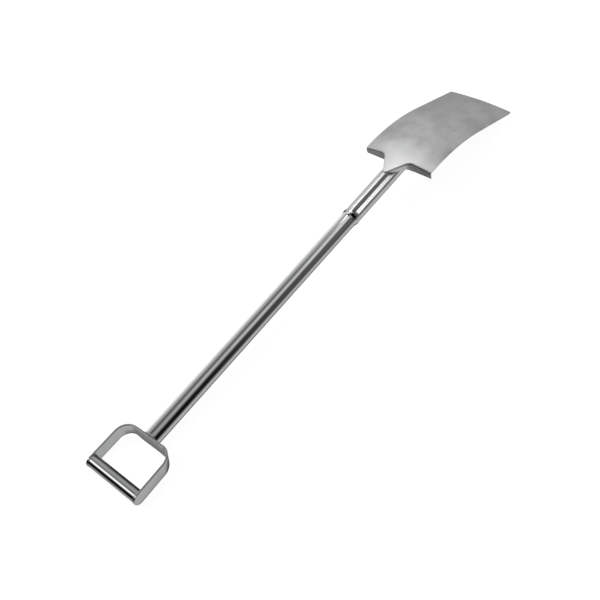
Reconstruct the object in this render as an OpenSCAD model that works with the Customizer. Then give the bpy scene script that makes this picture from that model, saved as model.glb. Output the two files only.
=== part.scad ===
// Detecting shovel: an all-metal spade for recovering finds.
// It is built in the tool's own axes, with the shaft along X, the handle at low X and the
// convex back of the blade up, and is then pitched so that it lies on the ground on its
// handle and on the tip of its blade.  Lengths are in millimetres.

/* [Handle] */
// Width of the bent strap across the outside of its corners
handle_w = 118.6; // [100:0.1:142]
// Distance from the middle of the strap's base to the axis of the grip
handle_depth = 81.3; // [66:0.1:100]
// Width of the flat bar that the strap is bent from
strap_w = 24; // [19:0.5:30]
// Thickness of the flat bar
strap_t = 3.5; // [2.5:0.1:5]
// Bend radius of the strap's corners, at mid thickness
strap_bend_r = 25; // [20:0.5:36]
// Lean of the handle's base, with its upper edge further from the grip, in degrees
base_lean = 12; // [0:0.5:15]
// How much more the base leans at one corner, and less at the other, in degrees
base_twist = 6; // [0:0.5:8]
// Outward lean of each arm in degrees
arm_splay = 1; // [0:0.1:3]
// Outside diameter of the grip tube
grip_d = 22.6; // [18:0.1:26]
// Wall of the grip tube
grip_wall = 1.5; // [1:0.1:3]

/* [Shaft] */
// Length of the shaft tube, from the strap to the end of its seat in the socket
shaft_len = 538.7; // [420:0.1:660]
// Outside diameter of the shaft tube
shaft_d = 30; // [24:0.5:38]
// Wall of the shaft tube
shaft_wall = 1.5; // [1.2:0.1:2.5]

/* [Socket] */
// Length of the socket beyond the end of the shaft tube
neck_len = 177; // [145:1:220]
// Thickness of the socket's sheet
socket_wall = 1.4; // [1:0.1:2.2]
// Depth to which the shaft tube is seated in the collar
seat_len = 9; // [7:0.5:14]
// Height by which the collar stands out from the shaft tube
collar_rise = 2.2; // [1.6:0.1:3]
// Radius of the half round rib along the top of the socket
rib_r = 6; // [4.5:0.1:7]
// Height of the socket's flat shoulders above its axis, at the middle
shoulder_z = 11.4; // [9:0.1:12]
// Slope of the shoulders down towards the sides in degrees
shoulder_slope = 13.5; // [5:0.5:18]
// Angle of each mouth around the socket, from the top, in degrees
mouth_angle = 40.5; // [34:0.5:46]
// Radius of the half moon mouths beside the rib
mouth_r = 6; // [4:0.1:7]
// Diameter of the domed head of the rivet
rivet_d = 6; // [4.5:0.1:7]
// Angle round the shaft from the line of the rib to the rivet, in degrees
rivet_turn = 7; // [0:1:14]

/* [Blade] */
// Width of the blade across its shoulders
blade_w = 150; // [120:1:184]
// Width of the blade at its tip
tip_w = 144; // [112:1:180]
// Length of the blade's sheet along its curve, from the shoulder to the tip
blade_len = 279; // [220:1:340]
// Thickness of the blade's sheet
blade_t = 2; // [1.5:0.1:3]
// Radius to which the blade is curved along its length
blade_bend_r = 383; // [300:1:500]
// Angle through which the blade is curved before it runs straight to the tip
blade_bend = 23; // [12:0.5:30]
// Height of the crown across the blade at the shoulder
crown = 8.2; // [5:0.1:11]
// Height of the crown across the blade at the tip
tip_crown = 3.5; // [0:0.1:6]
// Depth of the turned down treads below the edge of the blade
tread_h = 13.2; // [9:0.1:18]
// Radius of the bend between the blade and the treads
tread_bend_r = 4.8; // [3:0.1:7]
// Length of the tongue that laps onto the socket, ahead of the treads
tongue_len = 41; // [30:0.5:52]
// Half angle of the tongue's point in degrees
tongue_flare = 33; // [26:0.5:40]
// Half width of the tongue at its rounded point
tongue_tip = 4; // [3:0.1:5]
// Radius in plan between the tongue and the treads
tongue_fillet_r = 16; // [10:0.5:22]
// Radius of the corners of the tip
tip_corner_r = 4; // [2:0.5:20]
// Bow of the tip's edge
tip_bow = 1.5; // [0:0.1:4]

/* [Hidden] */

$fn = 96;
steel = [0.72, 0.73, 0.74];
dark_steel = [0.5, 0.51, 0.53];
bright_steel = [0.86, 0.87, 0.88];
eps = 0.01;

// The middle of the strap's base lies at strap_x, and the shaft starts on its outer face.
strap_x = strap_t + 1.3;
shaft_x0 = strap_x + strap_t / 2;
shaft_x1 = shaft_x0 + shaft_len;
lean_reach = strap_w / 2 * tan(base_lean);
shaft_r = shaft_d / 2;
grip_x = strap_x - handle_depth;
arm_r = strap_w / 2;
corner_y = handle_w / 2 - strap_t / 2 - strap_bend_r;

// Legs of the fillet welds, and how far their faces are hollowed, as a share of the leg.
shaft_weld_w = 2.6;
grip_weld_w = 2.2;
weld_hollow = 0.96;

// Socket, around the shaft's axis.
neck_r = shaft_r + socket_wall;
collar_r = shaft_r + collar_rise;
collar_x0 = shaft_x1 - seat_len;
collar_lip = 0.4;
collar_peak_x = shaft_x1 - seat_len / 10;
collar_back_x = shaft_x1 + 2;
collar_x1 = shaft_x1 + 7;
neck_x1 = shaft_x1 + neck_len;
rib_proud = 0.4;
rib_top = neck_r + rib_proud;
rib_z = rib_top - rib_r;

// Rivet: its head beds a little into the collar, and its shank is peened inside the tube.
rivet_x = shaft_x1 - seat_len / 2;
rivet_r = rivet_d / 2;
rivet_shank_r = rivet_r / 2;
rivet_tail_r = 1.5 * rivet_shank_r;
rivet_tail_h = 1.2;
rivet_bed = 0.25;
dome_h = 0.62 * rivet_r;

// Blade.  The tongue's underside rests on the rib.
edge_z = rib_top + blade_t - crown;
tread_z = edge_z - tread_h;
tread_lap = 30;
tread_x = neck_x1 - tread_lap;
shoulder_x = tread_x + tread_bend_r;
bend_len = blade_bend_r * blade_bend * PI / 180;
tip_round = tongue_tip / 2;
flare_x = tread_x - tongue_len + tip_round;
edge_gap = 0.3;
tread_gap = 2.2;
tread_blend = 18.7;
fillet_turn = 90 - tongue_flare;
fillet_run = tongue_fillet_r * tan(fillet_turn / 2);
flare_end_y = tongue_tip + (tread_x - flare_x) * tan(tongue_flare);
fillet_y1 = flare_end_y + fillet_run;
fillet_y0 = flare_end_y - fillet_run * sin(tongue_flare);
columns = 21;
rows = 22;
bend_steps = 24;

// A point of the blade's long section at the developed distance s from the shoulder line,
// as [x, z, slope].  Ahead of the shoulder the section is level.
function section(s) =
    s <= 0 ? [s, 0, 0] :
    s < bend_len ? let (a = s / blade_bend_r * 180 / PI)
        [blade_bend_r * sin(a), -blade_bend_r * (1 - cos(a)), a] :
    [blade_bend_r * sin(blade_bend) + (s - bend_len) * cos(blade_bend),
     -blade_bend_r * (1 - cos(blade_bend)) - (s - bend_len) * sin(blade_bend), blade_bend];

// Outline of the shoulder in plan: the x of the outer face of the edge at a distance y
// from the middle, round the tongue's point, along its flare, the fillet and the tread.
function outline_x(y) =
    y < tongue_tip ? flare_x - tip_round * (1 - pow(y / tongue_tip, 2)) :
    y < fillet_y0 ? flare_x + (y - tongue_tip) / tan(tongue_flare) :
    y < fillet_y1 ? tread_x - tongue_fillet_r
        + sqrt(pow(tongue_fillet_r, 2) - pow(fillet_y1 - y, 2)) :
    tread_x;

// Direction into the sheet, square to that outline, for the side of positive y.
function outline_normal(y) =
    let (d = 0.05, dx = outline_x(y + d) - outline_x(max(y - d, 0)),
         dy = y + d - max(y - d, 0), n = norm([dx, dy]))
    [dy / n, -dx / n];

// How far the turned edge comes down: nothing on the rib, onto the socket's shoulder beside
// it, and to the full depth of the tread outside the socket.
function smooth(a, b, v) = let (u = min(max((v - a) / (b - a), 0), 1)) u * u * (3 - 2 * u);
function shoulder_at(y) = shoulder_z - y * tan(shoulder_slope);
function edge_bottom(y) =
    let (rest = shoulder_at(min(y, neck_r)) + edge_gap)
    y < neck_r + tread_gap
        ? rib_top + (rest - rib_top) * smooth(rib_r - 1, rib_r + tongue_tip, y)
        : rest + (tread_z - rest) * smooth(neck_r + tread_gap, neck_r + tread_blend, y);
function bend_r(y) = let (least = blade_t + edge_gap)
    least + (tread_bend_r - least) * smooth(rib_r, fillet_y1, y);

function crown_at(s, v) =
    (crown + (tip_crown - crown) * min(max(s, 0) / blade_len, 1)) * (1 - v * v);
function tip_cut(y) =
    let (over = max(y - (tip_w / 2 - tip_corner_r), 0))
    tip_bow * pow(2 * y / tip_w, 2) + tip_corner_r - sqrt(max(pow(tip_corner_r, 2) - over * over, 0));

// One line of the blade's grid from the bottom of its turned edge to the tip.  side is 1 or
// -1, y the distance from the middle, and inside is 0 for the outer face, 1 for the inner.
function column(side, y, inside) =
    let (n = outline_normal(y), r = bend_r(y), x0 = outline_x(y), v = 2 * y / blade_w,
         top = edge_z + crown_at(0, v), low = min(edge_bottom(y), top - blade_t - 5 * eps),
         low_r = min(r, top - low), q = inside * blade_t,
         s0 = x0 + n[0] * r - shoulder_x, y0 = y + n[1] * r,
         y1 = y * tip_w / blade_w, s1 = blade_len - tip_cut(y1))
    concat(
        [for (p = [[q, low], [q, top - low_r], [low_r - (low_r - q) * cos(30), top - low_r
              + (low_r - q) * sin(30)], [low_r - (low_r - q) * cos(60), top - low_r
              + (low_r - q) * sin(60)]])
            [x0 + n[0] * p[0], side * (y + n[1] * p[0]), max(p[1], low)]],
        [for (k = [0 : rows])
            let (f = k / rows, s = s0 + (s1 - s0) * f, yy = y0 + (y1 - y0) * f,
                 c = section(s))
            [shoulder_x + c[0] - q * sin(c[2]), side * yy,
             edge_z + c[1] + crown_at(s, v) - q * cos(c[2])]]);

// Distances of the grid's lines from the middle, closer together at the tongue and corners.
function spread(k) = let (u = k / columns) blade_w / 2 * u * u * (3 - 2 * u);
function lines(inside) =
    [for (k = [-columns : columns]) column(k < 0 ? -1 : 1, spread(abs(k)), inside)];

// Pitch that brings the arms' round ends and the tip of the blade to the same level.
tip_low = let (ends = [for (c = lines(1)) c[len(c) - 1]], z = min([for (e = ends) e[2]]))
    [for (e = ends) if (e[2] == z) e][0];
pitch = -asin(arm_r / norm([tip_low[0] - grip_x, tip_low[2]]))
    - atan2(tip_low[2], tip_low[0] - grip_x);
tip_all = [for (inside = [0, 1]) for (c = lines(inside)) c[len(c) - 1]];
far_x = max([for (e = tip_all) e[0] * cos(pitch) - e[2] * sin(pitch)]);
near_x = grip_x * cos(pitch) - arm_r;
low_z = min(concat([for (e = tip_all) e[0] * sin(pitch) + e[2] * cos(pitch)],
                   [grip_x * sin(pitch) - arm_r]));

// Carries a shape from the tool's own axes to the part's frame, lying on the ground.
module laid() {
    translate([-(near_x + far_x) / 2, 0, -low_z]) rotate([0, -pitch, 0]) children();
}

// Extrudes a cross-section, drawn with y to the right and z up, along X from x0 to x1.
module along_x(x0, x1) {
    translate([x0, 0, 0]) rotate([90, 0, 90]) linear_extrude(x1 - x0) children();
}

// Turns a profile, drawn as [radius, x], round the shaft's axis.
module turned_x() {
    rotate([0, 90, 0]) rotate_extrude() children();
}

// Space between the arms, where the grip tube fits.
module between_arms() {
    turn = 90 - arm_splay;
    arm = handle_depth + arm_r;
    inner = strap_bend_r - strap_t / 2;
    start = [strap_x - strap_bend_r + inner * cos(turn), corner_y + inner * sin(turn)];
    end = start + arm * [-sin(turn), cos(turn)];
    polygon([start, end, [end[0], -end[1]], [start[0], -start[1]]]);
}

// Side outline of the strap: as deep as the flat bar, with half round ends on the grip's axis.
module strap_side() {
    translate([grip_x, 0, 0]) rotate([90, 0, 0]) linear_extrude(2 * handle_w, center = true) {
        circle(arm_r);
        translate([0, -arm_r]) square([2 * handle_depth, strap_w]);
    }
}

// How far the strap leans, per millimetre of height: evenly behind the shaft, then with twist.
lean_flat = shaft_r + shaft_weld_w + 0.4;
function lean_at(y) =
    tan(base_lean) - sign(y) * tan(base_twist) * smooth(lean_flat, handle_w / 2 - strap_bend_r / 2, abs(y));

// One face of the strap in plan, for the side of positive y: from the end of the base, round
// the bend at the radius r and out along the leaning arm.
function strap_face(r) =
    let (turn = 90 - arm_splay, c = [strap_x - strap_bend_r, corner_y],
         bend = [for (k = [0 : bend_steps]) let (a = turn * k / bend_steps) c + r * [cos(a), sin(a)]])
    concat([for (k = [0 : 3]) [strap_x - strap_bend_r + r, lean_flat + (corner_y - lean_flat) * k / 4]],
           bend, [bend[bend_steps] + (handle_depth + arm_r) * [-sin(turn), cos(turn)]]);
function leaning(points, z) = [for (p = points) [p[0] + z * lean_at(p[1]), p[1], z]];
function mirrored(points) = [for (p = points) [p[0], -p[1]]];
function reversed(points) = [for (k = [len(points) - 1 : -1 : 0]) points[k]];

module handle_strap() {
    outer = strap_face(strap_bend_r + strap_t / 2);
    inner = strap_face(strap_bend_r - strap_t / 2);
    plan = concat(reversed(outer), mirrored(outer), reversed(mirrored(inner)), inner);
    n = len(plan);
    color(steel) laid() intersection() {
        polyhedron(
            concat(leaning(plan, strap_w), leaning(plan, -strap_w)),
            concat([[for (k = [0 : n - 1]) k], [for (k = [n - 1 : -1 : 0]) n + k]],
                   [for (k = [0 : n - 1]) [k, n + k, n + (k + 1) % n]],
                   [for (k = [0 : n - 1]) [k, n + (k + 1) % n, (k + 1) % n]]));
        strap_side();
    }
}

module grip_tube() {
    color(bright_steel) laid() intersection() {
        translate([grip_x, 0, 0]) rotate([90, 0, 0]) difference() {
            cylinder(h = 2 * handle_w, d = grip_d, center = true);
            cylinder(h = 3 * handle_w, d = grip_d - 2 * grip_wall, center = true);
        }
        translate([0, 0, -strap_w]) linear_extrude(2 * strap_w) between_arms();
    }
}

// Section of a fillet weld that lies in the corner between a tube and a flat face.
module weld_section(tube_r, leg) {
    translate([tube_r, 0]) difference() {
        square(leg);
        translate([leg, leg]) circle(leg * weld_hollow);
    }
}

// Fillet welds inside the arms, around both ends of the grip.
module grip_welds() {
    inner = strap_bend_r - strap_t / 2;
    turn = 90 - arm_splay;
    run = strap_x - strap_bend_r + inner * cos(turn) - grip_x;
    face_y = corner_y + inner * sin(turn) + (run + arm_r) * tan(arm_splay);
    color(dark_steel) laid() for (side = [0, 1]) mirror([0, side, 0]) intersection() {
        translate([grip_x, face_y, 0]) rotate([90, 0, 0]) rotate_extrude()
            weld_section(grip_d / 2, grip_weld_w);
        translate([0, 0, -strap_w]) linear_extrude(2 * strap_w) between_arms();
        strap_side();
    }
}

// Half moon mouths beside the rib, where the pressed shoulders dive into the shaft tube.
module mouths(far_x) {
    for (side = [-1, 1]) rotate([side * mouth_angle, 0, 0])
        intersection() {
            translate([shaft_x1, 0, shaft_r / 2]) cylinder(h = shaft_d, r = mouth_r);
            translate([shaft_x1 - shaft_r, -shaft_r, 0])
                cube([shaft_r + far_x - shaft_x1, shaft_d, 2 * shaft_d]);
        }
}

module shaft_tube() {
    color(steel) laid() difference() {
        turned_x() translate([shaft_r - shaft_wall, shaft_x0 - lean_reach])
            square([shaft_wall, shaft_len + lean_reach]);
        translate([shaft_x0, 0, 0]) rotate([0, base_lean, 0])
            translate([-4 * shaft_r, -shaft_d, -shaft_d]) cube([4 * shaft_r, 2 * shaft_d, 2 * shaft_d]);
        mouths(neck_x1);
        rotate([rivet_turn, 0, 0]) translate([rivet_x, 0, 0])
            cylinder(h = shaft_d, r = rivet_shank_r);
    }
}

module shaft_weld() {
    color(dark_steel) laid() translate([shaft_x0, 0, 0]) difference() {
        intersection() {
            rotate([0, base_lean, 0]) turned_x() weld_section(shaft_r - 0.5, shaft_weld_w + 0.5);
            cube([shaft_d, 2 * shaft_d, strap_w], center = true);
        }
        translate([-shaft_r, 0, 0]) rotate([0, 90, 0]) cylinder(h = shaft_d, r = shaft_r);
    }
}

// Everything below the socket's two sloping shoulders, drawn inset by d.
module below_shoulders(d) {
    reach = 2 * neck_r;
    drop = reach * tan(shoulder_slope);
    translate([0, shoulder_z - d / cos(shoulder_slope)])
        polygon([[-reach, -2 * reach], [reach, -2 * reach], [reach, -drop], [0, 0], [-reach, -drop]]);
}

// Outside of the socket's section, drawn inset by the thickness d of its sheet.
module neck_section(d) {
    intersection() {
        circle(neck_r - d);
        below_shoulders(d);
    }
    translate([0, rib_z]) circle(rib_r - d);
    translate([-(rib_r - d), rib_z - rib_r]) square([2 * (rib_r - d), rib_r]);
}

module socket() {
    color(steel) laid() difference() {
        union() {
            // The collar tapers up from the shaft tube, and falls to the neck behind its peak.
            turned_x() polygon([[shaft_r - eps, collar_x0], [shaft_r + collar_lip, collar_x0],
                [collar_r, collar_peak_x], [collar_r, shaft_x1], [shaft_r - eps, shaft_x1]]);
            intersection() {
                turned_x() polygon([[0, shaft_x1], [collar_r, shaft_x1],
                    [collar_r, collar_back_x], [neck_r, collar_x1], [0, collar_x1]]);
                along_x(shaft_x1, collar_x1) below_shoulders(0);
            }
            along_x(shaft_x1, neck_x1) neck_section(0);
        }
        turned_x() translate([0, collar_x0 - 1]) square([shaft_r, seat_len + 1]);
        along_x(shaft_x1 - eps, neck_x1 - socket_wall) neck_section(socket_wall);
        mouths(shaft_x1);
        rotate([rivet_turn, 0, 0]) translate([rivet_x, 0, 0])
            cylinder(h = shaft_d, r = rivet_shank_r);
    }
}

// Domed rivet through the collar and the shaft tube, close to the line of the rib.
module socket_rivet() {
    seat_r = collar_r - rivet_bed;
    bore_r = shaft_r - shaft_wall;
    dome_r = (rivet_r * rivet_r + dome_h * dome_h) / (2 * dome_h);
    color(bright_steel) laid() rotate([rivet_turn, 0, 0]) translate([rivet_x, 0, 0]) {
        translate([0, 0, bore_r - 1]) cylinder(h = seat_r - bore_r + 1, r = rivet_shank_r);
        translate([0, 0, bore_r - rivet_tail_h - edge_gap])
            cylinder(h = rivet_tail_h, r = rivet_tail_r);
        intersection() {
            translate([0, 0, seat_r + dome_h - dome_r]) sphere(dome_r);
            translate([0, 0, seat_r]) cylinder(h = 2 * dome_h, r = rivet_r);
        }
    }
}

// The blade is one pressed sheet: the curved and crowned blade, the tongue and the treads.
module blade() {
    outer = lines(0);
    inner = lines(1);
    n = len(outer);
    m = len(outer[0]);
    points = concat([for (c = outer) each c], [for (c = inner) each c]);
    back = n * m;
    faces = concat(
        [for (i = [0 : n - 2], j = [0 : m - 2])
            let (a = i * m + j) each [[a, a + 1, a + m], [a + 1, a + m + 1, a + m]]],
        [for (i = [0 : n - 2], j = [0 : m - 2])
            let (a = back + i * m + j) each [[a, a + m, a + 1], [a + 1, a + m, a + m + 1]]],
        [for (i = [0 : n - 2], j = [0, m - 1])
            let (a = i * m + j, b = a + m, c = back + a, d = back + b)
            each (j == 0 ? [[a, b, c], [b, d, c]] : [[a, c, b], [b, c, d]])],
        [for (j = [0 : m - 2], i = [0, n - 1])
            let (a = i * m + j, b = a + 1, c = back + a, d = back + b)
            each (i == 0 ? [[a, c, b], [b, c, d]] : [[a, b, c], [b, d, c]])]);
    color(steel) laid() polyhedron(points, faces, convexity = 6);
}

handle_strap();
grip_tube();
grip_welds();
shaft_tube();
shaft_weld();
socket();
socket_rivet();
blade();
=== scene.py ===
"""Looks for the detecting shovel: smooth steel pieces, their finishes, the studio and the camera.

Every size below is in millimetres in the shovel's own axes, with the shaft along X, the handle
at low X and the convex back of the blade up.  A Lie turns them into the frame's metres.
"""

import logging
import math
from dataclasses import dataclass, field
from enum import Enum
from typing import Callable, Optional, Sequence, Union

import bmesh
import bpy
import numpy as np
from mathutils import Matrix, Vector


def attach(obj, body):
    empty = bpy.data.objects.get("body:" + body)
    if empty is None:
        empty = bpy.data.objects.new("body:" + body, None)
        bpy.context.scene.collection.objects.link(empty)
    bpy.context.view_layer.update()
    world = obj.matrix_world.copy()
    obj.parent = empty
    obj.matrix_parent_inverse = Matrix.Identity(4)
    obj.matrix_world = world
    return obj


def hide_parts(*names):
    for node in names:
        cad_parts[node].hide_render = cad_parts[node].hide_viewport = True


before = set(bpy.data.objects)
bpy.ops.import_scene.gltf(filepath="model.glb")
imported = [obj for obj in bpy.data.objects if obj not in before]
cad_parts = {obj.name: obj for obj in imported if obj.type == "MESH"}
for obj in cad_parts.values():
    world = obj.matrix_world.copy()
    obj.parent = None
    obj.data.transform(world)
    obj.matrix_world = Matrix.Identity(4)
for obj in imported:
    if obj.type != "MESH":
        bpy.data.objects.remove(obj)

log = logging.getLogger("shovel")
Number = Union[int, float]
Points = np.ndarray


class Finish(Enum):
    """The shovel's steel finishes, by the record's slot names."""

    STRAP = "strap_steel"
    POLISHED = "polished_steel"
    SHAFT = "shaft_steel"
    SOCKET = "socket_steel"
    RIVET = "rivet_steel"
    BLADE = "blade_steel"
    WELD = "weld_steel"


@dataclass(frozen=True)
class Lie:
    """How the shovel lies on the ground: its pitch, then its shift, from its own axes."""

    pitch: float = 3.16961
    shift_x: float = -437.876
    shift_z: float = 16.2298

    def put(self, points: Points) -> Points:
        """Turns points in the shovel's axes into the frame.

        Args:
            points: An array of shape (..., 3) in millimetres.

        Returns:
            The same points in the frame, in metres.
        """
        cos, sin = math.cos(math.radians(self.pitch)), math.sin(math.radians(self.pitch))
        x, y, z = points[..., 0], points[..., 1], points[..., 2]
        out = np.stack([x * cos - z * sin + self.shift_x, y, x * sin + z * cos + self.shift_z], -1)
        return out * 0.001


LIE = Lie()


def smooth_step(low: float, high: float, value: Points) -> Points:
    """Rises smoothly from 0 at low to 1 at high."""
    part = np.clip((np.asarray(value, float) - low) / (high - low), 0.0, 1.0)
    return part * part * (3.0 - 2.0 * part)


def soft_waves(points: Points, length: float, seed: int, count: int = 10) -> Points:
    """Adds up a few seeded plane waves, for the slight unevenness of worked sheet.

    Args:
        points: An array of shape (..., 3) in millimetres.
        length: The shortest wavelength, in millimetres.
        seed: The seed of the waves' directions and phases.
        count: How many waves are added.

    Returns:
        One value for each point, mostly between -1 and 1.
    """
    rng = np.random.default_rng(seed)
    total = np.zeros(points.shape[:-1])
    for _ in range(count):
        direction = rng.normal(size=3)
        direction /= np.linalg.norm(direction)
        size = length * rng.uniform(1.0, 2.6)
        total += np.sin(points @ direction * (2 * math.pi / size) + rng.uniform(0, 2 * math.pi))
    return total / math.sqrt(count * 2.0)


def tangent(degrees: float) -> float:
    """The tangent of an angle in degrees."""
    return math.tan(math.radians(degrees))


def circle(count: int, radius: float) -> tuple[Points, Points]:
    """Evenly spaced points of a circle, as the radius times their cosines and sines."""
    turn = np.arange(count) * 2 * math.pi / count
    return radius * np.cos(turn), radius * np.sin(turn)


def shade(mesh: bpy.types.Mesh, sharp: float) -> None:
    """Shades a mesh smooth, but for edges sharper than an angle in degrees."""
    mesh.shade_smooth()
    mesh.set_sharp_from_angle(angle=math.radians(sharp))


def add_object(name: str, data: bpy.types.ID) -> bpy.types.Object:
    """Makes an object from its data and adds it to the scene."""
    made = bpy.data.objects.new(name, data)
    bpy.context.scene.collection.objects.link(made)
    return made


def aimed(place: Sequence[float], aim: Sequence[float]) -> Matrix:
    """The matrix of something at a place that points at its aim."""
    turn = (Vector(aim) - Vector(place)).to_track_quat("-Z", "Y").to_matrix().to_4x4()
    return Matrix.Translation(place) @ turn


class Skin:
    """Collects rings of points and faces, and turns them into one closed mesh object."""

    def __init__(self) -> None:
        """Starts with no points and no faces."""
        self.points: list[Points] = []
        self.faces: list[tuple[int, ...]] = []
        self.count = 0

    def add(self, points: Points) -> int:
        """Adds points in the shovel's axes and returns the number of the first."""
        first = self.count
        self.points.append(np.asarray(points, float).reshape(-1, 3))
        self.count += len(self.points[-1])
        return first

    def row(self, points: Points) -> list[int]:
        """Adds points in the shovel's axes and returns their numbers."""
        first = self.add(points)
        return list(range(first, self.count))

    def grid(self, first: int, rows: int, columns: int, flip: bool = False) -> None:
        """Joins a grid of points with quads.

        Args:
            first: The number of the grid's first point.
            rows: How many rows the grid has.
            columns: How many points each row has.
            flip: Whether the faces are turned over.
        """
        for i in range(rows - 1):
            for j in range(columns - 1):
                a, b = first + i * columns + j, first + i * columns + j + 1
                face = (a, b, b + columns, a + columns)
                self.faces.append(face[::-1] if flip else face)

    def bridge(self, one: Sequence[int], two: Sequence[int]) -> None:
        """Joins two closed rows of point numbers of the same length with quads."""
        for k in range(len(one)):
            n = (k + 1) % len(one)
            self.faces.append((one[k], one[n], two[n], two[k]))

    def loft(self, rows: list[list[int]], ring: bool = False) -> None:
        """Joins each row to the next.

        Args:
            rows: Rows of point numbers, all of the same length.
            ring: Whether the last row joins the first. If not, both ends are closed.
        """
        for one, two in zip(rows, rows[1:] + rows[:1] if ring else rows[1:]):
            self.bridge(one, two)
        if not ring:
            self.cap(rows[0])
            self.cap(rows[-1], True)

    def cap(self, row: Sequence[int], flip: bool = False) -> None:
        """Closes a row of point numbers with one face."""
        self.faces.append(tuple(row)[::-1] if flip else tuple(row))

    def build(self, name: str, sharp: float = 35.0) -> bpy.types.Object:
        """Makes the object.

        Args:
            name: The piece's name.
            sharp: The angle in degrees above which an edge stays sharp.

        Returns:
            The new object, in the frame.
        """
        mesh = bpy.data.meshes.new(name)
        mesh.from_pydata(LIE.put(np.concatenate(self.points)).tolist(), [], self.faces)
        work = bmesh.new()
        work.from_mesh(mesh)
        bmesh.ops.remove_doubles(work, verts=work.verts, dist=2e-7)
        bmesh.ops.recalc_face_normals(work, faces=work.faces)
        work.to_mesh(mesh)
        work.free()
        shade(mesh, sharp)
        return add_object(name, mesh)


def apply_modifiers(piece: bpy.types.Object, sharp: float = 35.0) -> None:
    """Replaces a piece's mesh by what its modifiers make of it."""
    bpy.context.view_layer.update()
    shown = piece.evaluated_get(bpy.context.evaluated_depsgraph_get())
    mesh = bpy.data.meshes.new_from_object(shown)
    piece.modifiers.clear()
    piece.data = mesh
    shade(mesh, sharp)


def ease_edges(piece: bpy.types.Object, width: float, segments: int = 3, angle: float = 40.0) -> None:
    """Rounds a piece's sharp edges.

    Args:
        piece: The piece.
        width: The width of the rounding in millimetres.
        segments: How many strips make the rounding.
        angle: The angle in degrees above which an edge is rounded.
    """
    bevel = piece.modifiers.new("eased edges", "BEVEL")
    bevel.width = width * 0.001
    bevel.segments = segments
    bevel.limit_method = "ANGLE"
    bevel.angle_limit = math.radians(angle)
    bevel.use_clamp_overlap = True
    apply_modifiers(piece, 60.0)


def cut(piece: bpy.types.Object, tools: Sequence[bpy.types.Object]) -> None:
    """Cuts closed shapes out of a piece and removes them."""
    for tool in tools:
        boolean = piece.modifiers.new("cut", "BOOLEAN")
        boolean.operation = "DIFFERENCE"
        boolean.solver = "EXACT"
        boolean.object = tool
    apply_modifiers(piece)
    for tool in tools:
        bpy.data.objects.remove(tool)


# ---------------------------------------------------------------- shader expressions


class Signal:
    """A node's output socket, on which Python's operators add Math nodes."""

    def __init__(self, tree: "Tree", socket: bpy.types.NodeSocket) -> None:
        """Wraps one output socket of a tree."""
        self.tree = tree
        self.socket = socket

    def math(self, operation: str, *values: Union["Signal", Number]) -> "Signal":
        """Adds one Math node that works on the given values."""
        return self.tree.node("ShaderNodeMath", {"operation": operation}, dict(enumerate(values)))

    def __add__(self, other: Union["Signal", Number]) -> "Signal":
        """Adds."""
        return self.math("ADD", self, other)

    __radd__ = __add__

    def __sub__(self, other: Union["Signal", Number]) -> "Signal":
        """Subtracts."""
        return self.math("SUBTRACT", self, other)

    def __rsub__(self, other: Number) -> "Signal":
        """Subtracts this from a number."""
        return self.math("SUBTRACT", other, self)

    def __mul__(self, other: Union["Signal", Number]) -> "Signal":
        """Multiplies."""
        return self.math("MULTIPLY", self, other)

    __rmul__ = __mul__

    def __truediv__(self, other: Union["Signal", Number]) -> "Signal":
        """Divides."""
        return self.math("DIVIDE", self, other)

    def __rpow__(self, other: Number) -> "Signal":
        """Raises a number to this."""
        return self.math("POWER", other, self)

    def rise(self, low: Number, high: Number) -> "Signal":
        """Rises smoothly from 0 at low to 1 at high."""
        values = {"Value": self, "From Min": low, "From Max": high, "To Min": 0.0, "To Max": 1.0}
        settings = {"interpolation_type": "SMOOTHSTEP"}
        return self.tree.node("ShaderNodeMapRange", settings, values, "Result")


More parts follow.
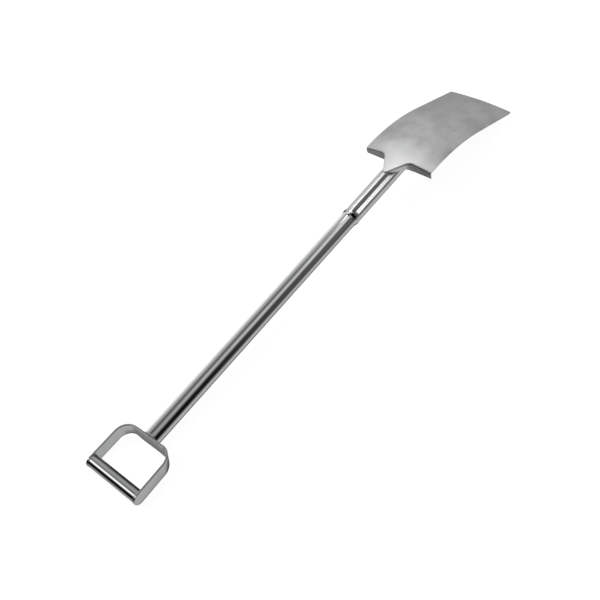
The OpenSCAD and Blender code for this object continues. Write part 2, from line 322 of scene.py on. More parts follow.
class Tree:
    """A node tree that is filled through one node-making method."""

    def __init__(self, tree: bpy.types.NodeTree) -> None:
        """Empties the tree."""
        self.tree = tree
        tree.nodes.clear()

    def node(
        self,
        kind: str,
        settings: Optional[dict] = None,
        values: Optional[dict] = None,
        output: Union[str, int] = 0,
    ) -> Signal:
        """Adds a node.

        Args:
            kind: The node's Blender type.
            settings: Its settings, which are set first.
            values: The values or links of its input sockets, by name or number.
            output: The name or number of the output that is returned.

        Returns:
            The chosen output.
        """
        made = self.tree.nodes.new(kind)
        for key, value in (settings or {}).items():  # settings first, since they add sockets
            setattr(made, key, value)
        for key, value in (values or {}).items():
            if isinstance(value, Signal):
                self.tree.links.new(value.socket, made.inputs[key])
            else:
                made.inputs[key].default_value = value
        if not made.outputs:
            return Signal(self, None)
        return Signal(self, made.outputs[output])

    def split(self, vector: Signal) -> tuple[Signal, Signal, Signal]:
        """The three parts of a vector."""
        first = self.node("ShaderNodeSeparateXYZ", {}, {0: vector})
        outputs = first.socket.node.outputs
        return tuple(Signal(self, outputs[k]) for k in range(3))

    def scaled(self, vector: Signal, scale: tuple[float, float, float]) -> Signal:
        """A vector times a scale along each axis."""
        return self.node("ShaderNodeVectorMath", {"operation": "MULTIPLY"}, {0: vector, 1: scale})

    def blend(
        self,
        part: Union[Signal, Number],
        low: Union[Signal, Sequence[float]],
        high: Sequence[float],
    ) -> Signal:
        """A colour between a varying or fixed one and a fixed one, by a part from 0 to 1."""
        start = low if isinstance(low, Signal) else (*low, 1.0)
        values = {0: part, 6: start, 7: (*high, 1.0)}
        settings = {"data_type": "RGBA", "clamp_factor": True}
        return self.node("ShaderNodeMix", settings, values, 2)

    def surface(self, values: dict) -> None:
        """Adds a Principled shader with the given values and shows it as the surface."""
        shader = self.node("ShaderNodeBsdfPrincipled", {}, values, "BSDF")
        self.node("ShaderNodeOutputMaterial", {}, {"Surface": shader})

    def noise(self, vector: Signal, scale: float, detail: float = 3.0, rough: float = 0.55) -> Signal:
        """Noise from 0 to 1."""
        values = {"Vector": vector, "Scale": scale, "Detail": detail, "Roughness": rough}
        return self.node("ShaderNodeTexNoise", {}, values, "Fac")


def new_material(name: str) -> tuple[bpy.types.Material, Tree]:
    """Makes a material and its empty tree."""
    material = bpy.data.materials.new(name)
    material.use_nodes = True
    return material, Tree(material.node_tree)


@dataclass(frozen=True)
class Steel:
    """One finish of bare stainless steel.

    Attributes:
        tint: The colour of the metal.
        roughness: How matt it is, in the middle of its range.
        spread: How much the roughness varies over the clouds.
        brush: Scale of the brushed lines along each axis, lowest along the strokes.
        depth: Depth of the brushed lines, as a share of full bump.
        cloud: Size of the clouds, as a scale per metre.
        dull: How much darker the clouds are than the rest.
        pits: Amount of small pits and smudges.
        metal: How far it looks like bare metal; blasted sheet looks paler and flatter.
        painted_neck_sheen: How much brighter the sheet is painted where the blade meets the neck, a
            painted highlight; when it is set, the turned-down edge also gets painted shade.
    """

    tint: tuple[float, float, float]
    roughness: float
    spread: float = 0.05
    brush: tuple[float, float, float] = (4.0, 700.0, 700.0)
    depth: float = 0.12
    cloud: float = 22.0
    dull: float = 0.12
    pits: float = 0.0
    metal: float = 1.0
    painted_neck_sheen: float = 0.0

    def make(self, name: str) -> bpy.types.Material:
        """Builds the material.

        Args:
            name: The material's name.

        Returns:
            The material.
        """
        material, tree = new_material(name)
        place = tree.node("ShaderNodeTexCoord", {}, {}, "Object")
        strokes = tree.noise(tree.scaled(place, self.brush), 1.0, 2.0)
        fine = tree.noise(tree.scaled(place, tuple(2.7 * b for b in self.brush)), 1.0, 1.0)
        clouds = tree.noise(place, self.cloud, 4.0, 0.6).rise(0.34, 0.68)
        specks = tree.noise(place, 900.0, 2.0, 0.6).rise(0.62, 0.8) * self.pits
        shade = clouds * self.dull + strokes.rise(0.35, 0.7) * (0.5 * self.dull) + specks * 0.5
        dark = tuple(0.45 * t for t in self.tint)
        colour = tree.blend(shade, self.tint, dark)
        # Painted highlight near the neck and painted shade on the turned-down edge.
        if self.painted_neck_sheen:
            colour = self.paint_sheen_and_shade(tree, place, clouds, colour)
        matt = self.roughness - 0.5 * self.spread + clouds * self.spread + specks * 0.2
        lines = strokes * 0.65 + fine * 0.35
        relief = {"Strength": self.depth, "Distance": 0.0003, "Height": lines + specks}
        bump = tree.node("ShaderNodeBump", {}, relief, "Normal")
        tree.surface(
            {"Base Color": colour, "Metallic": self.metal, "Roughness": matt, "Normal": bump}
        )
        return material

    def paint_sheen_and_shade(self, tree: Tree, place: Signal, clouds: Signal, colour: Signal) -> Signal:
        """Paints a highlight on the sheet near the neck and paints shade on the edge that is turned
        down.

        Args:
            tree: The material's tree.
            place: Where a point is, in the frame.
            clouds: The finish's clouds, from 0 to 1.
            colour: The finish's colour so far.

        Returns:
            The colour with both.
        """
        along, across, _ = tree.split(place)
        facing, _, _ = tree.split(tree.node("ShaderNodeTexCoord", {}, {}, "Normal"))
        turned = 1 - facing.rise(-0.85, -0.45)
        # Painted highlight: lighter near the neck, less so towards positive y, not on the turned-down
        # edge.
        near = 1 - (along + clouds * 0.008).rise(0.255, 0.325)
        near = near * (1 - across.rise(0.0, 0.075) * 0.3) * (1 - turned)
        pale = tuple(min(1.0, t * (1 + self.painted_neck_sheen)) for t in self.tint)
        colour = tree.blend(near, colour, pale)
        # Painted shade on the turned-down edge, darkest on the near side at negative y.
        edge = turned * (1 - across.rise(-0.03, 0.03) * 0.8) * (0.35 + 0.35 * clouds)
        return tree.blend(edge, colour, tuple(0.3 * t for t in self.tint))


BRIGHT = (0.52, 0.525, 0.53)

FINISHES: dict[Finish, Steel] = {
    Finish.STRAP: Steel(BRIGHT, 0.24, brush=(9.0, 9.0, 900.0), depth=0.16, dull=0.12),
    Finish.POLISHED: Steel(BRIGHT, 0.10, 0.03, brush=(900.0, 7.0, 900.0), depth=0.03, dull=0.05),
    Finish.SHAFT: Steel(
        (0.58, 0.585, 0.59), 0.14, 0.04, brush=(3.0, 500.0, 500.0), depth=0.04, dull=0.10
    ),
    Finish.SOCKET: Steel(
        (0.68, 0.685, 0.69), 0.30, brush=(5.0, 500.0, 500.0), depth=0.10, dull=0.16
    ),
    Finish.RIVET: Steel((0.97, 0.972, 0.975), 0.18, 0.02, depth=0.01, dull=0.0),
    Finish.BLADE: Steel(
        (0.41, 0.412, 0.414),
        0.46,
        brush=(60.0, 420.0, 200.0),
        depth=0.10,
        dull=0.22,
        metal=0.8,
        # strength of the painted highlight near the neck; it also turns on painted shade on the
        # turned-down edge
        painted_neck_sheen=0.75,
    ),
    Finish.WELD: Steel((0.45, 0.45, 0.45), 0.30, brush=(300.0, 300.0, 300.0), depth=0.3, pits=0.5),
}


class Paintbox:
    """Makes each finish's material once."""

    def __init__(self) -> None:
        """Starts empty."""
        self.made: dict[Finish, bpy.types.Material] = {}

    def dress(self, piece: bpy.types.Object, finish: Finish, nodes: Sequence[str]) -> None:
        """Gives a piece its finish and body, and hides the CAD nodes it stands for.

        Args:
            piece: The piece.
            finish: Its finish.
            nodes: The CAD nodes that it replaces.
        """
        if finish not in self.made:
            self.made[finish] = FINISHES[finish].make(finish.value)
        piece.data.materials.clear()
        piece.data.materials.append(self.made[finish])
        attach(piece, "root")
        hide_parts(*nodes)
        log.info("%s: %d faces, %s", piece.name, len(piece.data.polygons), finish.value)


# ---------------------------------------------------------------- the shovel's pieces


@dataclass
class Shaft:
    """The shaft tube, with the half moon mouths at its far end."""

    start: float = 6.55
    lean: float = 12.0
    strap_half: float = 12.0
    end: float = 545.25
    radius: float = 15.0
    wall: float = 1.5
    around: int = 128
    mouth_radius: float = 6.0
    mouth_angle: float = 40.5
    mouth_heights: tuple[float, float] = (8.0, 22.0)
    rim: float = 0.3

    def ring(self, x: float, radius: float) -> Points:
        """One ring of points around the shaft's axis."""
        up, side = circle(self.around, radius)
        return np.stack([np.full(self.around, x), side, up], -1)

    def mouths(self, far: float) -> list[bpy.types.Object]:
        """Makes the shapes that cut the mouths.

        Args:
            far: The X at which the cut stops.

        Returns:
            One closed shape for each side.
        """
        made = []
        for side in (-1, 1):
            turn = math.radians(90) + np.linspace(0, math.pi, 25)
            middle = min(self.end, far)
            flat = [
                (middle + self.mouth_radius * math.cos(a), self.mouth_radius * math.sin(a))
                for a in turn
            ]
            if far > self.end:
                flat += [(far, -self.mouth_radius), (far, self.mouth_radius)]
            lean = side * math.radians(self.mouth_angle)
            cos, sin = math.cos(lean), math.sin(lean)
            skin = Skin()
            rows = [
                skin.row(np.array([(x, y * cos - up * sin, y * sin + up * cos) for x, y in flat]))
                for up in self.mouth_heights
            ]
            skin.loft(rows)
            made.append(skin.build("mouth"))
        return made

    def build(self) -> bpy.types.Object:
        """Makes the tube."""
        skin = Skin()
        outer, rim, inner = self.radius, self.rim, self.radius - self.wall
        profile = [(self.start, outer)]
        profile += [(x, outer) for x in np.linspace(self.start + 20, self.end - 20, 16)]
        profile += [(self.end - rim, outer), (self.end, outer - rim), (self.end, inner + rim)]
        profile += [(self.end - rim, inner)]
        profile += [(x, inner) for x in np.linspace(self.end - 20, self.start + 20, 4)]
        profile += [(self.start, inner)]
        rows = []
        for x, radius in profile:
            ring = self.ring(x, radius)
            if x == self.start:
                ring[:, 0] += tangent(self.lean) * np.maximum(ring[:, 2], -self.strap_half)
            rows.append(skin.row(ring))
        skin.loft(rows, ring=True)
        piece = skin.build("shaft_tube_smooth")
        cut(piece, self.mouths(self.end + 5.0))
        return piece


@dataclass
class Socket:
    """The ribbed socket and its collar: rib, two sloping shoulders and a round underside."""

    shaft: Shaft
    end: float = 722.25
    wall: float = 1.4
    seat: float = 9.0
    collar: float = 17.2
    lip: float = 15.4
    peak: float = 544.35
    radius: float = 16.4
    rib_radius: float = 6.0
    rib_height: float = 10.8
    shoulder: float = 11.4
    slope: float = 13.5
    blend_end: float = 556.0
    around: int = 256

    def outline(self) -> Points:
        """The neck's outside section for one side, from the top round to the bottom, as (y, z)."""
        slope = tangent(self.slope)
        points: list[tuple[float, float]] = []
        rib = self.rib_radius
        for a in np.radians(np.linspace(0, 86, 40)):
            points.append((rib * math.sin(a), self.rib_height + rib * math.cos(a)))
        foot = (rib, self.shoulder - rib * slope)
        points += self.corner((rib, foot[1] + 1.2), foot, (rib + 1.4, foot[1] - 1.4 * slope))
        b, c = self.shoulder * slope, 1 + slope * slope
        lip_y = (b + math.sqrt(b * b + c * (self.radius**2 - self.shoulder**2))) / c
        lip = (lip_y, self.shoulder - lip_y * slope)
        turn = math.atan2(lip[0], lip[1]) + 0.05
        after = (self.radius * math.sin(turn), self.radius * math.cos(turn))
        before = (lip[0] - 0.8, lip[1] + 0.8 * slope)
        shoulder = np.linspace(foot[0] + 2.0, before[0] - 0.5, 8)
        points += [(y, self.shoulder - y * slope) for y in shoulder]
        points += self.corner(before, lip, after)
        for a in np.linspace(turn + 0.03, math.pi, 60):
            points.append((self.radius * math.sin(a), self.radius * math.cos(a)))
        return np.array(points)

    @staticmethod
    def corner(before: tuple, at: tuple, after: tuple) -> list[tuple[float, float]]:
        """Rounds a corner of a section with a short curve of seven points."""
        made = []
        for t in np.linspace(0, 1, 7):
            a, b, c = (1 - t) ** 2, 2 * t * (1 - t), t * t
            y = a * before[0] + b * at[0] + c * after[0]
            made.append((y, a * before[1] + b * at[1] + c * after[1]))
        return made

    def radii(self) -> tuple[Points, Points]:
        """The neck's section as angles from the top and distances from the axis, all round."""
        half = self.outline()
        turn = np.arctan2(half[:, 0], half[:, 1])
        size = np.hypot(half[:, 0], half[:, 1])
        steps = np.linspace(0, 1, self.around // 2 + 1)
        dense = np.interp(steps, np.linspace(0, 1, len(turn)), turn)
        far = np.interp(dense, turn, size)
        whole = np.concatenate([dense, 2 * math.pi - dense[-2:0:-1]])
        return whole, np.concatenate([far, far[-2:0:-1]])

    def section(self, x: float, inset: float = 0.0) -> Points:
        """One ring of the socket's outside, drawn inset towards the axis."""
        turn, neck = self.radii()
        part = smooth_step(self.shaft.end, self.blend_end, x)
        round_part = smooth_step(self.shaft.end + 2.0, self.shaft.end + 8.0, x)
        ring = self.collar + (self.radius - self.collar) * round_part
        size = ring + (neck - ring) * part - inset
        return np.stack([np.full(len(turn), x), size * np.sin(turn), size * np.cos(turn)], -1)

    def plain(self, x: float, radius: float) -> Points:
        """One round ring with the same points around as the section."""
        turn, _ = self.radii()
        return np.stack([np.full(len(turn), x), radius * np.sin(turn), radius * np.cos(turn)], -1)

    def build(self) -> bpy.types.Object:
        """Makes the socket."""
        skin = Skin()
        start, seat_end = self.shaft.end - self.seat, self.shaft.end
        bore = self.shaft.radius + 0.01
        rings = [self.plain(start, bore), self.plain(start, self.lip - 0.15)]
        rings.append(self.plain(start + 0.2, self.lip))
        for t in np.linspace(0.1, 1.0, 10):
            rise = self.lip + (self.collar - self.lip) * smooth_step(0.0, 1.0, t)
            rings.append(self.plain(start + 0.2 + t * (self.peak - start - 0.2), rise))
        rings += [self.section(x) for x in np.linspace(seat_end, self.blend_end, 14)]
        rings += [self.section(x) for x in np.linspace(560, self.end, 30)]
        rings.append(self.section(self.end, 0.4))
        for x in (self.end - self.wall, 600.0, self.blend_end, seat_end + 1.0):
            rings.append(self.section(x, self.wall))
        rings.append(self.plain(seat_end, bore - 0.6))
        rings.append(self.plain(seat_end - 0.01, bore))
        skin.loft([skin.row(ring) for ring in rings], ring=True)
        piece = skin.build("socket_smooth", 45.0)
        cut(piece, self.shaft.mouths(self.shaft.end - 0.04))
        return piece

    def far_end(self) -> bpy.types.Object:
        """Makes the plate that closes the socket's far end, inside the blade."""
        skin = Skin()
        ends = (self.end - self.wall, self.end - 0.1)
        skin.loft([skin.row(self.section(x, 0.45)) for x in ends])
        return skin.build("socket_end_plate")


@dataclass
class Rivet:
    """The bright domed head on the collar, close to the line of the rib."""

    x: float = 540.75
    seat: float = 16.95
    radius: float = 3.0
    shank: float = 1.45
    rise: float = 1.3
    turn: float = 8.0
    around: int = 48

    def build(self) -> bpy.types.Object:
        """Makes the head with its shank."""
        skin = Skin()
        dome = (self.radius**2 + self.rise**2) / (2 * self.rise)
        profile = [(self.shank, self.seat - 3.4), (self.shank, self.seat - 0.4)]
        profile += [(self.radius - 0.25, self.seat - 0.4), (self.radius - 0.05, self.seat - 0.15)]
        reach = math.asin(self.radius / dome)
        for a in np.linspace(reach, 0.06, 12):
            profile.append((dome * math.sin(a), self.seat + self.rise - dome + dome * math.cos(a)))
        rows = []
        cos, sin = math.cos(math.radians(self.turn)), math.sin(math.radians(self.turn))
        for radius, z in profile:
            along, y = circle(self.around, radius)
            ring = np.stack([self.x + along, y * cos - z * sin, y * sin + z * cos], -1)
            rows.append(skin.row(ring))
        skin.loft(rows)
        return skin.build("socket_rivet_smooth", 50.0)


@dataclass
class Strap:
    """The flat bar bent to a D, with a leaning base and half round arm ends on the grip's axis."""

    base_x: float = 4.8
    thick: float = 3.5
    bend: float = 25.0
    corner_y: float = 32.55
    lean: float = 12.0
    twist: float = 6.0
    twist_from: float = 18.0
    twist_to: float = 46.8
    splay: float = 1.0
    grip_x: float = -76.5
    half: float = 12.0
    steps: int = 40

    def side(self, offset: float) -> list[tuple[float, float, float]]:
        """One face's path on the side of positive y, from the middle to the grip's axis.

        Args:
            offset: The distance outwards from the bar's middle surface.

        Returns:
            Points as (x, y, 0).
        """
        turn = math.radians(90 - self.splay)
        cx, radius = self.base_x - self.bend, self.bend + offset
        path = [(self.base_x + offset, y, 0.0) for y in np.linspace(0, self.corner_y, 14)[:-1]]
        for a in np.linspace(0, turn, self.steps):
            path.append((cx + radius * math.cos(a), self.corner_y + radius * math.sin(a), 0.0))
        last = path[-1]
        run = (last[0] - self.grip_x) / math.sin(turn)
        path.append((self.grip_x, last[1] + run * math.cos(turn), 0.0))
        return path

    def lean_at(self, y: float) -> float:
        """How far the bar leans towards the shaft for each millimetre of height."""
        twist = math.copysign(tangent(self.twist), y)
        return tangent(self.lean) - twist * smooth_step(self.twist_from, self.twist_to, abs(y))

    def face_y(self, x: float, offset: float) -> float:
        """The y of an arm's face at a given x."""
        one, two = self.side(offset)[-2:]
        return one[1] + (two[1] - one[1]) * (one[0] - x) / (one[0] - two[0])

    def contour(self, offset: float) -> tuple[list[tuple[float, float, float]], int]:
        """The closed outline of one face of the bar, and how many points each long edge has."""
        half_path = self.side(offset)
        path = [(x, -y, z) for x, y, z in half_path[:0:-1]] + half_path

        def edge(height: float) -> list[tuple[float, float, float]]:
            """One long edge of the face, which leans everywhere but at the grip's axis."""
            last = len(path) - 1
            return [
                (x if k in (0, last) else x + height * self.lean_at(y), y, height)
                for k, (x, y, _) in enumerate(path)
            ]

        top, low = edge(self.half), edge(-self.half)[::-1]
        ends = []
        for sign in (1, -1):
            arc = []
            for a in np.linspace(0, math.pi, 26)[1:-1]:
                x = self.grip_x - self.half * math.sin(a)
                z = self.half * math.cos(a) * sign
                arc.append((x, sign * self.face_y(x, offset), z))
            ends.append(arc)
        return top + ends[0] + low + ends[1], len(path)

    def build(self) -> bpy.types.Object:
        """Makes the strap."""
        skin = Skin()
        rows = []
        for offset in (self.thick / 2, -self.thick / 2):
            outline, count = self.contour(offset)
            first = skin.add(np.array(outline))
            total = len(outline)
            arc = (total - 2 * count) // 2
            top = [first + k for k in range(count)]
            low = [first + count + arc + (count - 1 - k) for k in range(count)]
            flip = offset < 0
            for k in range(1, count - 2):
                face = (top[k], top[k + 1], low[k + 1], low[k])
                skin.faces.append(face[::-1] if flip else face)
            near_arc = [first + 2 * count + arc + k for k in range(arc)]
            far_arc = [first + count + k for k in range(arc)]
            skin.cap([top[1], low[1], low[0], *near_arc, top[0]], flip)
            skin.cap([top[-2], top[-1], *far_arc, low[-1], low[-2]], flip)
            rows.append(list(range(first, first + total)))
        skin.bridge(rows[0], rows[1])
        piece = skin.build("handle_strap_smooth")
        ease_edges(piece, 0.55)
        return piece


@dataclass
class Grip:
    """The round grip tube between the arms."""

    strap: Strap
    radius: float = 11.3
    wall: float = 1.5
    around: int = 96

    def ring(self, y: float, radius: float) -> Points:
        """One ring of points around the grip's axis."""
        along, up = circle(self.around, radius)
        return np.stack([self.strap.grip_x + along, np.full(self.around, y), up], -1)

    def build(self) -> bpy.types.Object:
        """Makes the tube, slightly uneven as hand polishing leaves it."""
        skin = Skin()
        reach = self.strap.face_y(self.strap.grip_x, -self.strap.thick / 2) - 0.02
        rows = []
        for y in np.linspace(-reach, reach, 60):
            ring = self.ring(y, self.radius)
            dent = soft_waves(ring, 22.0, 5) * 0.02 * (1 - (abs(y) / reach) ** 6)
            centre = np.array([self.strap.grip_x, y, 0.0])
            ring = centre + (ring - centre) * (1 - 0.02 / self.radius + dent[:, None] / self.radius)
            rows.append(skin.row(ring))
        for y in (reach, -reach):
            rows.append(skin.row(self.ring(y, self.radius - self.wall)))
        skin.loft(rows, ring=True)
        return skin.build("grip_tube_smooth")


@dataclass
class Beads:
    """The weld beads at both ends of the grip and at the handle end of the shaft."""

    strap: Strap
    grip: Grip
    shaft: Shaft

    @staticmethod
    def ripple(turn: float, seed: int) -> float:
        """The height of the weld's ripples at an angle, from 0 to 1."""
        lump = math.sin(turn * 23 + seed) * 0.5 + math.sin(turn * 37 + 2.1 * seed) * 0.3
        return 0.5 + 0.35 * lump + 0.15 * math.sin(turn * 5 + seed)

    def bead(
        self,
        name: str,
        place: Callable[[float, float, float], tuple[float, float, float]],
        radius: float,
        leg: float,
        limit: Callable[[float, float], float],
        seed: int,
    ) -> bpy.types.Object:
        """Makes a ring of weld in the corner between a tube and a flat face.

        Args:
            name: The piece's name.
            place: Turns an angle, a distance from the tube's axis and a height above the
                face into a point.
            radius: The tube's radius.
            leg: The leg of the weld's section.
            limit: Draws a distance from the axis back to what the face allows at an angle.
            seed: Sets the ripples.

        Returns:
            The bead.
        """
        skin = Skin()
        around, across = 160, 9
        rows = []
        for k in range(around):
            turn = 2 * math.pi * k / around
            size = leg * (0.82 + 0.18 * self.ripple(turn, seed))
            row = []
            for j in range(across):
                a = math.pi / 2 * j / (across - 1)
                hollow = 0.60 + 0.05 * self.ripple(turn + 0.3 * math.sin(2 * a), seed)
                out = size * (1 - math.sin(a) ** (1 / (2 - hollow)))
                up = size * (1 - math.cos(a) ** (1 / (2 - hollow)))
                row.append(place(turn, limit(turn, radius + out), up))
            row.append(place(turn, radius - 0.2, size))
            row.append(place(turn, radius - 0.2, -0.02))
            row.append(place(turn, limit(turn, radius + size), -0.02))
            rows.append(skin.row(np.array(row)))
        skin.loft(rows, ring=True)
        return skin.build(name, 70.0)

    def build(self) -> list[bpy.types.Object]:
        """Makes the three beads."""
        strap, made = self.strap, []
        face = strap.face_y(strap.grip_x, -strap.thick / 2)
        for side, name in ((1, "grip_weld_left"), (-1, "grip_weld_right")):

            def place(
                turn: float, far: float, up: float, side: int = side
            ) -> tuple[float, float, float]:
                """A point of a grip weld."""
                x, z = strap.grip_x + far * math.cos(turn), far * math.sin(turn)
                return x, side * (face - up), z

            def limit(turn: float, far: float) -> float:
                """Keeps a grip weld on the half round end of the arm."""
                if math.cos(turn) <= 0:
                    return min(far, strap.half - 0.15)
                return min(far, (strap.half - 0.15) / max(abs(math.sin(turn)), 1e-3))

            made.append(self.bead(name, place, self.grip.radius, 2.2, limit, 3 + side))
        base = strap.base_x + strap.thick / 2

        def stand(turn: float, far: float, up: float) -> tuple[float, float, float]:
            """A point of the shaft's weld."""
            height = far * math.cos(turn)
            return (base + up + height * strap.lean_at(0.0), far * math.sin(turn), height)

        def keep(turn: float, far: float) -> float:
            """Keeps the shaft's weld round the tube, where the bar is narrower than it."""
            edge = strap.half / max(abs(math.cos(turn)), 1e-3)
            return min(far, max(self.shaft.radius + 0.35, edge))

        made.append(self.bead("shaft_weld_bead", stand, self.shaft.radius, 2.6, keep, 8))
        return made


@dataclass(frozen=True)
class BladePlaces:
    """Places on the blade that follow from its sizes."""

    rib_top: float
    tread_x: float
    shoulder_x: float
    edge_z: float
    tread_z: float
    flare_x: float
    fillet_0: float
    fillet_1: float


@dataclass
class Blade:
    """The pressed blade: crowned and curved sheet, turned down treads and a tongue."""

    socket: Socket
    width: float = 150.0
    tip_width: float = 144.0
    length: float = 279.0
    thick: float = 2.0
    bend: float = 383.0
    turn: float = 23.0
    crown: float = 8.2
    tip_crown: float = 3.5
    tread: float = 13.2
    tread_bend: float = 4.8
    tongue: float = 41.0
    flare: float = 33.0
    point: float = 4.0
    fillet: float = 16.0
    tip_corner: float = 4.0
    tip_bow: float = 1.5
    lap: float = 30.0
    edge_gap: float = 0.3
    rest_past: float = 2.2
    tread_blend: float = 18.7
    columns: int = 72
    rows: int = 84
    turned: int = 9
    at: BladePlaces = field(init=False)

    def __post_init__(self) -> None:
        """Works out the places that follow from the sizes."""
        rib_top = self.socket.rib_height + self.socket.rib_radius
        tread_x = self.socket.end - self.lap
        flare = math.radians(self.flare)
        flare_x = tread_x - self.tongue + self.point / 2
        run = self.fillet * math.tan((math.pi / 2 - flare) / 2)
        end_y = self.point + (tread_x - flare_x) * math.tan(flare)
        edge_z = rib_top + self.thick - self.crown
        self.at = BladePlaces(
            rib_top=rib_top,
            tread_x=tread_x,
            shoulder_x=tread_x + self.tread_bend,
            edge_z=edge_z,
            tread_z=edge_z - self.tread,
            flare_x=flare_x,
            fillet_0=end_y - run * math.sin(flare),
            fillet_1=end_y + run,
        )

    def section(self, s: float) -> tuple[float, float, float]:
        """A point of the long section at a developed distance, as (x, z, slope in radians)."""
        turn = math.radians(self.turn)
        if s <= 0:
            return s, 0.0, 0.0
        if s < self.bend * turn:
            a = s / self.bend
            return self.bend * math.sin(a), -self.bend * (1 - math.cos(a)), a
        rest = s - self.bend * turn
        x = self.bend * math.sin(turn) + rest * math.cos(turn)
        return x, -self.bend * (1 - math.cos(turn)) - rest * math.sin(turn), turn

    def outline_x(self, y: float) -> float:
        """The x of the edge's outer face at a distance from the middle."""
        at = self.at
        if y < self.point:
            return at.flare_x - self.point / 2 * (1 - (y / self.point) ** 2)
        if y < at.fillet_0:
            return at.flare_x + (y - self.point) / tangent(self.flare)
        if y < at.fillet_1:
            over = at.fillet_1 - y
            return at.tread_x - self.fillet + math.sqrt(self.fillet**2 - over**2)
        return at.tread_x

    def outline_normal(self, y: float) -> tuple[float, float]:
        """The direction into the sheet, square to its edge, as (x, y)."""
        d = 0.05
        low = max(y - d, 0.0)
        dx, dy = self.outline_x(y + d) - self.outline_x(low), y + d - low
        size = math.hypot(dx, dy)
        return dy / size, -dx / size

    def edge_bottom(self, y: float) -> float:
        """How low the turned edge comes."""
        socket, at = self.socket, self.at
        drop = min(y, socket.radius) * tangent(socket.slope)
        rest = socket.shoulder - drop + self.edge_gap
        rib, leave = socket.rib_radius, socket.radius + self.rest_past
        if y < leave:
            part = smooth_step(rib - 1, rib + 4, y)
            return at.rib_top + (rest - at.rib_top) * part
        part = smooth_step(leave, socket.radius + self.tread_blend, y)
        return rest + (at.tread_z - rest) * part

    def edge_bend(self, y: float) -> float:
        """The outer radius of the turned edge's bend."""
        least = self.thick + self.edge_gap
        part = smooth_step(self.socket.rib_radius, self.at.fillet_1, y)
        return least + (self.tread_bend - least) * part

    def crown_at(self, s: float, v: float) -> float:
        """The height of the crown at a developed distance and a share of the half width."""
        part = min(max(s, 0.0) / self.length, 1.0)
        return (self.crown + (self.tip_crown - self.crown) * part) * (1 - v * v)

    def tip_cut(self, y: float) -> float:
        """How much the tip's edge is cut back at a distance from the middle."""
        over = max(y - (self.tip_width / 2 - self.tip_corner), 0.0)
        rounding = self.tip_corner - math.sqrt(max(self.tip_corner**2 - over**2, 0.0))
        return self.tip_bow * (2 * y / self.tip_width) ** 2 + rounding

    def column(self, side: int, y: float, inner: bool) -> list[tuple[float, float, float]]:
        """One line of the sheet from the bottom of its turned edge to the tip.

        Args:
            side: 1 or -1.
            y: The distance from the middle.
            inner: Whether it is on the inner face.

        Returns:
            The points, in the shovel's axes.
        """
        at = self.at
        nx, ny = self.outline_normal(y)
        bend, x0, v = self.edge_bend(y), self.outline_x(y), 2 * y / self.width
        top = at.edge_z + self.crown_at(0, v)
        low = min(self.edge_bottom(y), top - self.thick - 0.05)
        low_bend, q = min(bend, top - low), self.thick if inner else 0.0
        made = []
        for share in np.linspace(0, 1, 4)[:-1]:
            made.append((x0 + nx * q, side * (y + ny * q), low + (top - low_bend - low) * share))
        for a in np.radians(np.linspace(0, 80, self.turned)):
            out = low_bend - (low_bend - q) * math.cos(a)
            up = top - low_bend + (low_bend - q) * math.sin(a)
            made.append((x0 + nx * out, side * (y + ny * out), max(up, low)))
        s0, y0 = x0 + nx * bend - at.shoulder_x, y + ny * bend
        y1 = y * self.tip_width / self.width
        s1 = self.length - self.tip_cut(y1)
        for k in range(self.rows + 1):
            share = k / self.rows
            s, yy = s0 + (s1 - s0) * share, y0 + (y1 - y0) * share
            x, z, slope = self.section(s)
            z += at.edge_z + self.crown_at(s, v) - q * math.cos(slope)
            made.append((at.shoulder_x + x - q * math.sin(slope), side * yy, z))
        return made

    def build(self) -> bpy.types.Object:
        """Makes the sheet, with slight unevenness from pressing and eased edges."""
        skin = Skin()
        shares = smooth_step(0.0, 1.0, np.arange(self.columns + 1) / self.columns).tolist()
        sides = [(-1, s * self.width / 2) for s in shares[:0:-1]]
        sides += [(1, s * self.width / 2) for s in shares]
        count = 0
        firsts = []
        for inner in (False, True):
            grid = np.array([self.column(side, y, inner) for side, y in sides])
            count = grid.shape[1]
            fade = smooth_step(700, 760, grid[..., 0])
            fade = fade * smooth_step(0, 14, self.width / 2 - abs(grid[..., 1]))
            flat_points = grid * np.array([1.0, 1.0, 0.0])
            grid[..., 2] += (soft_waves(flat_points, 42.0, 11) * 0.16 - 0.2) * fade
            firsts.append(skin.add(grid))
        rows = len(sides)
        skin.grid(firsts[0], rows, count)
        skin.grid(firsts[1], rows, count, flip=True)

        def rim(first: int) -> list[int]:
            """The point numbers round the edge of one face."""
            n = np.arange(first, first + rows * count).reshape(rows, count)
            return np.concatenate([n[0], n[1:, -1], n[-1, -2::-1], n[-2:0:-1, 0]]).tolist()

        skin.bridge(rim(firsts[0]), rim(firsts[1]))
        piece = skin.build("blade_smooth", 60.0)
        ease_edges(piece, 0.45, 2, 50.0)
        return piece


# ---------------------------------------------------------------- studio and camera


@dataclass(frozen=True)
class Lamp:
    """One soft square lamp, which shines in the steel and leaves the floor alone.

    Attributes:
        place: Where it hangs.
        aim: Where it points.
        size: The length of its sides.
        power: Its power in watts.
    """

    place: tuple[float, float, float]
    aim: tuple[float, float, float]
    size: float
    power: float

    def hang(self) -> None:
        """Makes the lamp."""
        data = bpy.data.lights.new("soft_lamp", "AREA")
        data.shape = "SQUARE"
        data.size = self.size
        data.energy = self.power
        made = add_object("soft_lamp", data)
        made.matrix_world = aimed(self.place, self.aim)
        made.visible_diffuse = False


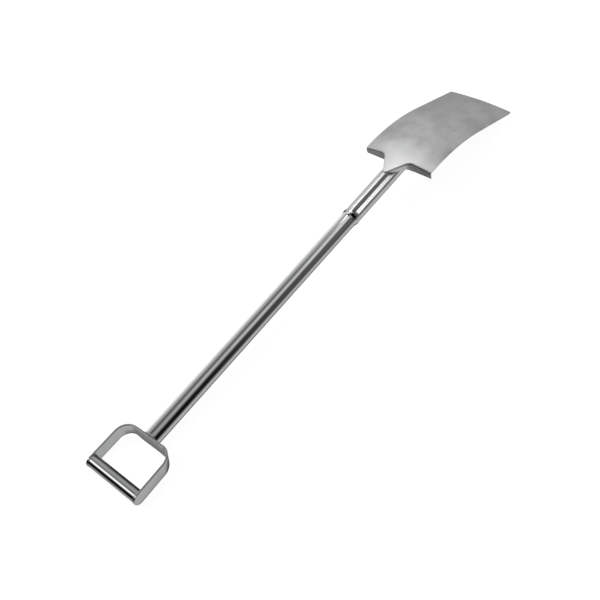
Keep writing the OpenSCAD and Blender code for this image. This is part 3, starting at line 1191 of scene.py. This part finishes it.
@dataclass
class Studio:
    """The pale floor, the soft studio round the shovel and the camera."""

    eye: tuple[float, float, float] = (-0.67672, -0.85617, 1.23026)
    aim: tuple[float, float, float] = (-0.08428, -0.03336, 0.03)
    roll: float = -17.726
    lens: float = 54.0
    floor_glow: float = 0.91
    floor_white: float = 0.35
    strip_glow: float = 1.0
    window_glow: float = 1.9
    wall_glow: float = 0.64
    room_glow: float = 0.17
    ground_glow: float = 0.74
    level_glow: float = 1.05
    over_blade: Lamp = Lamp((1.25, 0.45, 0.50), (0.40, 0.0, 0.04), 0.9, 3.0)
    over_rivet: Lamp = Lamp((0.34, 0.15, 0.48), (0.10, 0.0, 0.06), 0.12, 0.27)

    def camera(self) -> None:
        """Makes the camera and sets it as the scene's."""
        data = bpy.data.cameras.new("camera")
        data.lens = self.lens
        data.sensor_width = 36.0
        data.clip_start, data.clip_end = 0.01, 100.0
        made = add_object("camera", data)
        roll = Matrix.Rotation(math.radians(self.roll), 4, "Z")
        made.matrix_world = aimed(self.eye, self.aim) @ roll
        bpy.context.scene.camera = made

    def floor(self) -> None:
        """Makes the floor, as pale as studio paper lit evenly from behind."""
        mesh = bpy.data.meshes.new("floor")
        reach = 30.0
        sides = [(-reach, -reach), (reach, -reach), (reach, reach), (-reach, reach)]
        mesh.from_pydata([(x, y, -0.0006) for x, y in sides], [], [(0, 1, 2, 3)])
        made = add_object("floor", mesh)
        made.visible_glossy = False
        material, tree = new_material("floor_paper")
        tree.surface(
            {
                "Base Color": (self.floor_white, self.floor_white, self.floor_white, 1.0),
                "Roughness": 0.9,
                "Specular IOR Level": 0.0,
                "Emission Color": (1.0, 1.0, 1.0, 1.0),
                "Emission Strength": self.floor_glow,
            }
        )
        mesh.materials.append(material)

    def sky(self) -> None:
        """Makes the light round the shovel: a strip overhead, a grey wall and a dark room side."""
        world = bpy.data.worlds.new("studio")
        world.use_nodes = True
        bpy.context.scene.world = world
        tree = Tree(world.node_tree)
        place = tree.node("ShaderNodeTexCoord", {}, {}, "Generated")
        x, y, z = tree.split(place)

        # Above: a strip along the shovel, a window behind the handle, a wall and the dark room.
        up = z.math("MAXIMUM", z, 0.02)
        over, aside = x / up, y / up
        bulge = self.bell((x - 0.29) / 0.09) * 0.15
        off = (over * 0.788 - aside * 0.616 - bulge - 0.41) / 0.30
        along = over * 0.616 + aside * 0.788
        reach = (0.50 + 0.75 * along.rise(-0.40, 0.10)) * (1 - along.rise(0.5, 1.1))
        strip = self.bell(off) * reach * z.rise(0.3, 0.6)
        window = self.bell((x + 0.40) / 0.14) * y.rise(0.15, 0.35) * z.rise(0.3, 0.5)
        shut = x.rise(0.35, 0.95) * 0.45 + (1 - z.rise(0.0, 0.4)) * x.rise(0.5, 0.8) * 0.62
        open_side = x.rise(-0.72, -0.40) * (1 - shut)
        wall = y.rise(-0.05, 0.5) * open_side * (0.24 + 0.76 * (1 - z.rise(0.66, 0.93)))
        room = (0.01 + 0.99 * x.rise(0.16, 0.42)) * (1 - y.rise(-0.75, -0.10))
        above = strip * self.strip_glow + window * self.window_glow
        above = above + wall * self.wall_glow + room * self.room_glow

        # Below: the pale ground, darker towards both ends and under the shovel, and a level glow.
        far = y.rise(-0.35, 0.6)
        gone = x.rise(-0.75, -0.42) * 0.6 - x.rise(0.0, 0.3) * 0.2 + x.rise(0.3, 0.7) * 0.6
        under = 1 - (1 - z.rise(-0.95, -0.70)) * y.rise(-0.50, -0.10) * 0.85
        below = (1 - far * gone) * (1 - z.rise(-0.62, 0.03)) * under * self.ground_glow
        level = y.rise(0.68, 0.90) * x.rise(-0.2, 0.1) * (1 - z.rise(-0.15, 0.50))
        glow = above * z.rise(-0.10, 0.10) + below + level * self.level_glow + 0.004

        # The camera sees plain white past the floor.
        white = (1.0, 1.0, 1.0, 1.0)
        light = tree.node("ShaderNodeBackground", {}, {"Color": white, "Strength": glow})
        plain = tree.node("ShaderNodeBackground", {}, {"Color": white, "Strength": 1.0})
        seen = tree.node("ShaderNodeLightPath", {}, {}, "Is Camera Ray")
        mixed = tree.node("ShaderNodeMixShader", {}, {0: seen, 1: light, 2: plain})
        tree.node("ShaderNodeOutputWorld", {}, {"Surface": mixed})

    @staticmethod
    def bell(part: Signal) -> Signal:
        """A smooth peak of 1 at 0 that falls away on both sides."""
        return 2.718 ** (part * part * -1.0)

    def build(self) -> None:
        """Makes everything round the shovel."""
        bpy.context.scene.view_settings.view_transform = "Standard"
        self.floor()
        self.sky()
        self.over_blade.hang()
        self.over_rivet.hang()
        self.camera()


def main() -> None:
    """Builds the studio and every piece."""
    logging.basicConfig(level=logging.INFO, format="%(name)s: %(message)s")
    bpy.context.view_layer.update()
    Studio().build()
    paint = Paintbox()
    shaft = Shaft()
    strap = Strap()
    grip = Grip(strap)
    socket = Socket(shaft)
    paint.dress(shaft.build(), Finish.SHAFT, ["shaft_tube"])
    paint.dress(socket.build(), Finish.SOCKET, ["socket"])
    paint.dress(socket.far_end(), Finish.SOCKET, ["socket"])
    paint.dress(Rivet().build(), Finish.RIVET, ["socket_rivet"])
    paint.dress(strap.build(), Finish.STRAP, ["handle_strap"])
    paint.dress(grip.build(), Finish.POLISHED, ["grip_tube"])
    beads = Beads(strap, grip, shaft).build()
    for bead in beads[:2]:
        paint.dress(bead, Finish.WELD, ["grip_welds"])
    paint.dress(beads[2], Finish.WELD, ["shaft_weld"])
    paint.dress(Blade(socket).build(), Finish.BLADE, ["blade"])


if __name__ == "__main__":
    main()
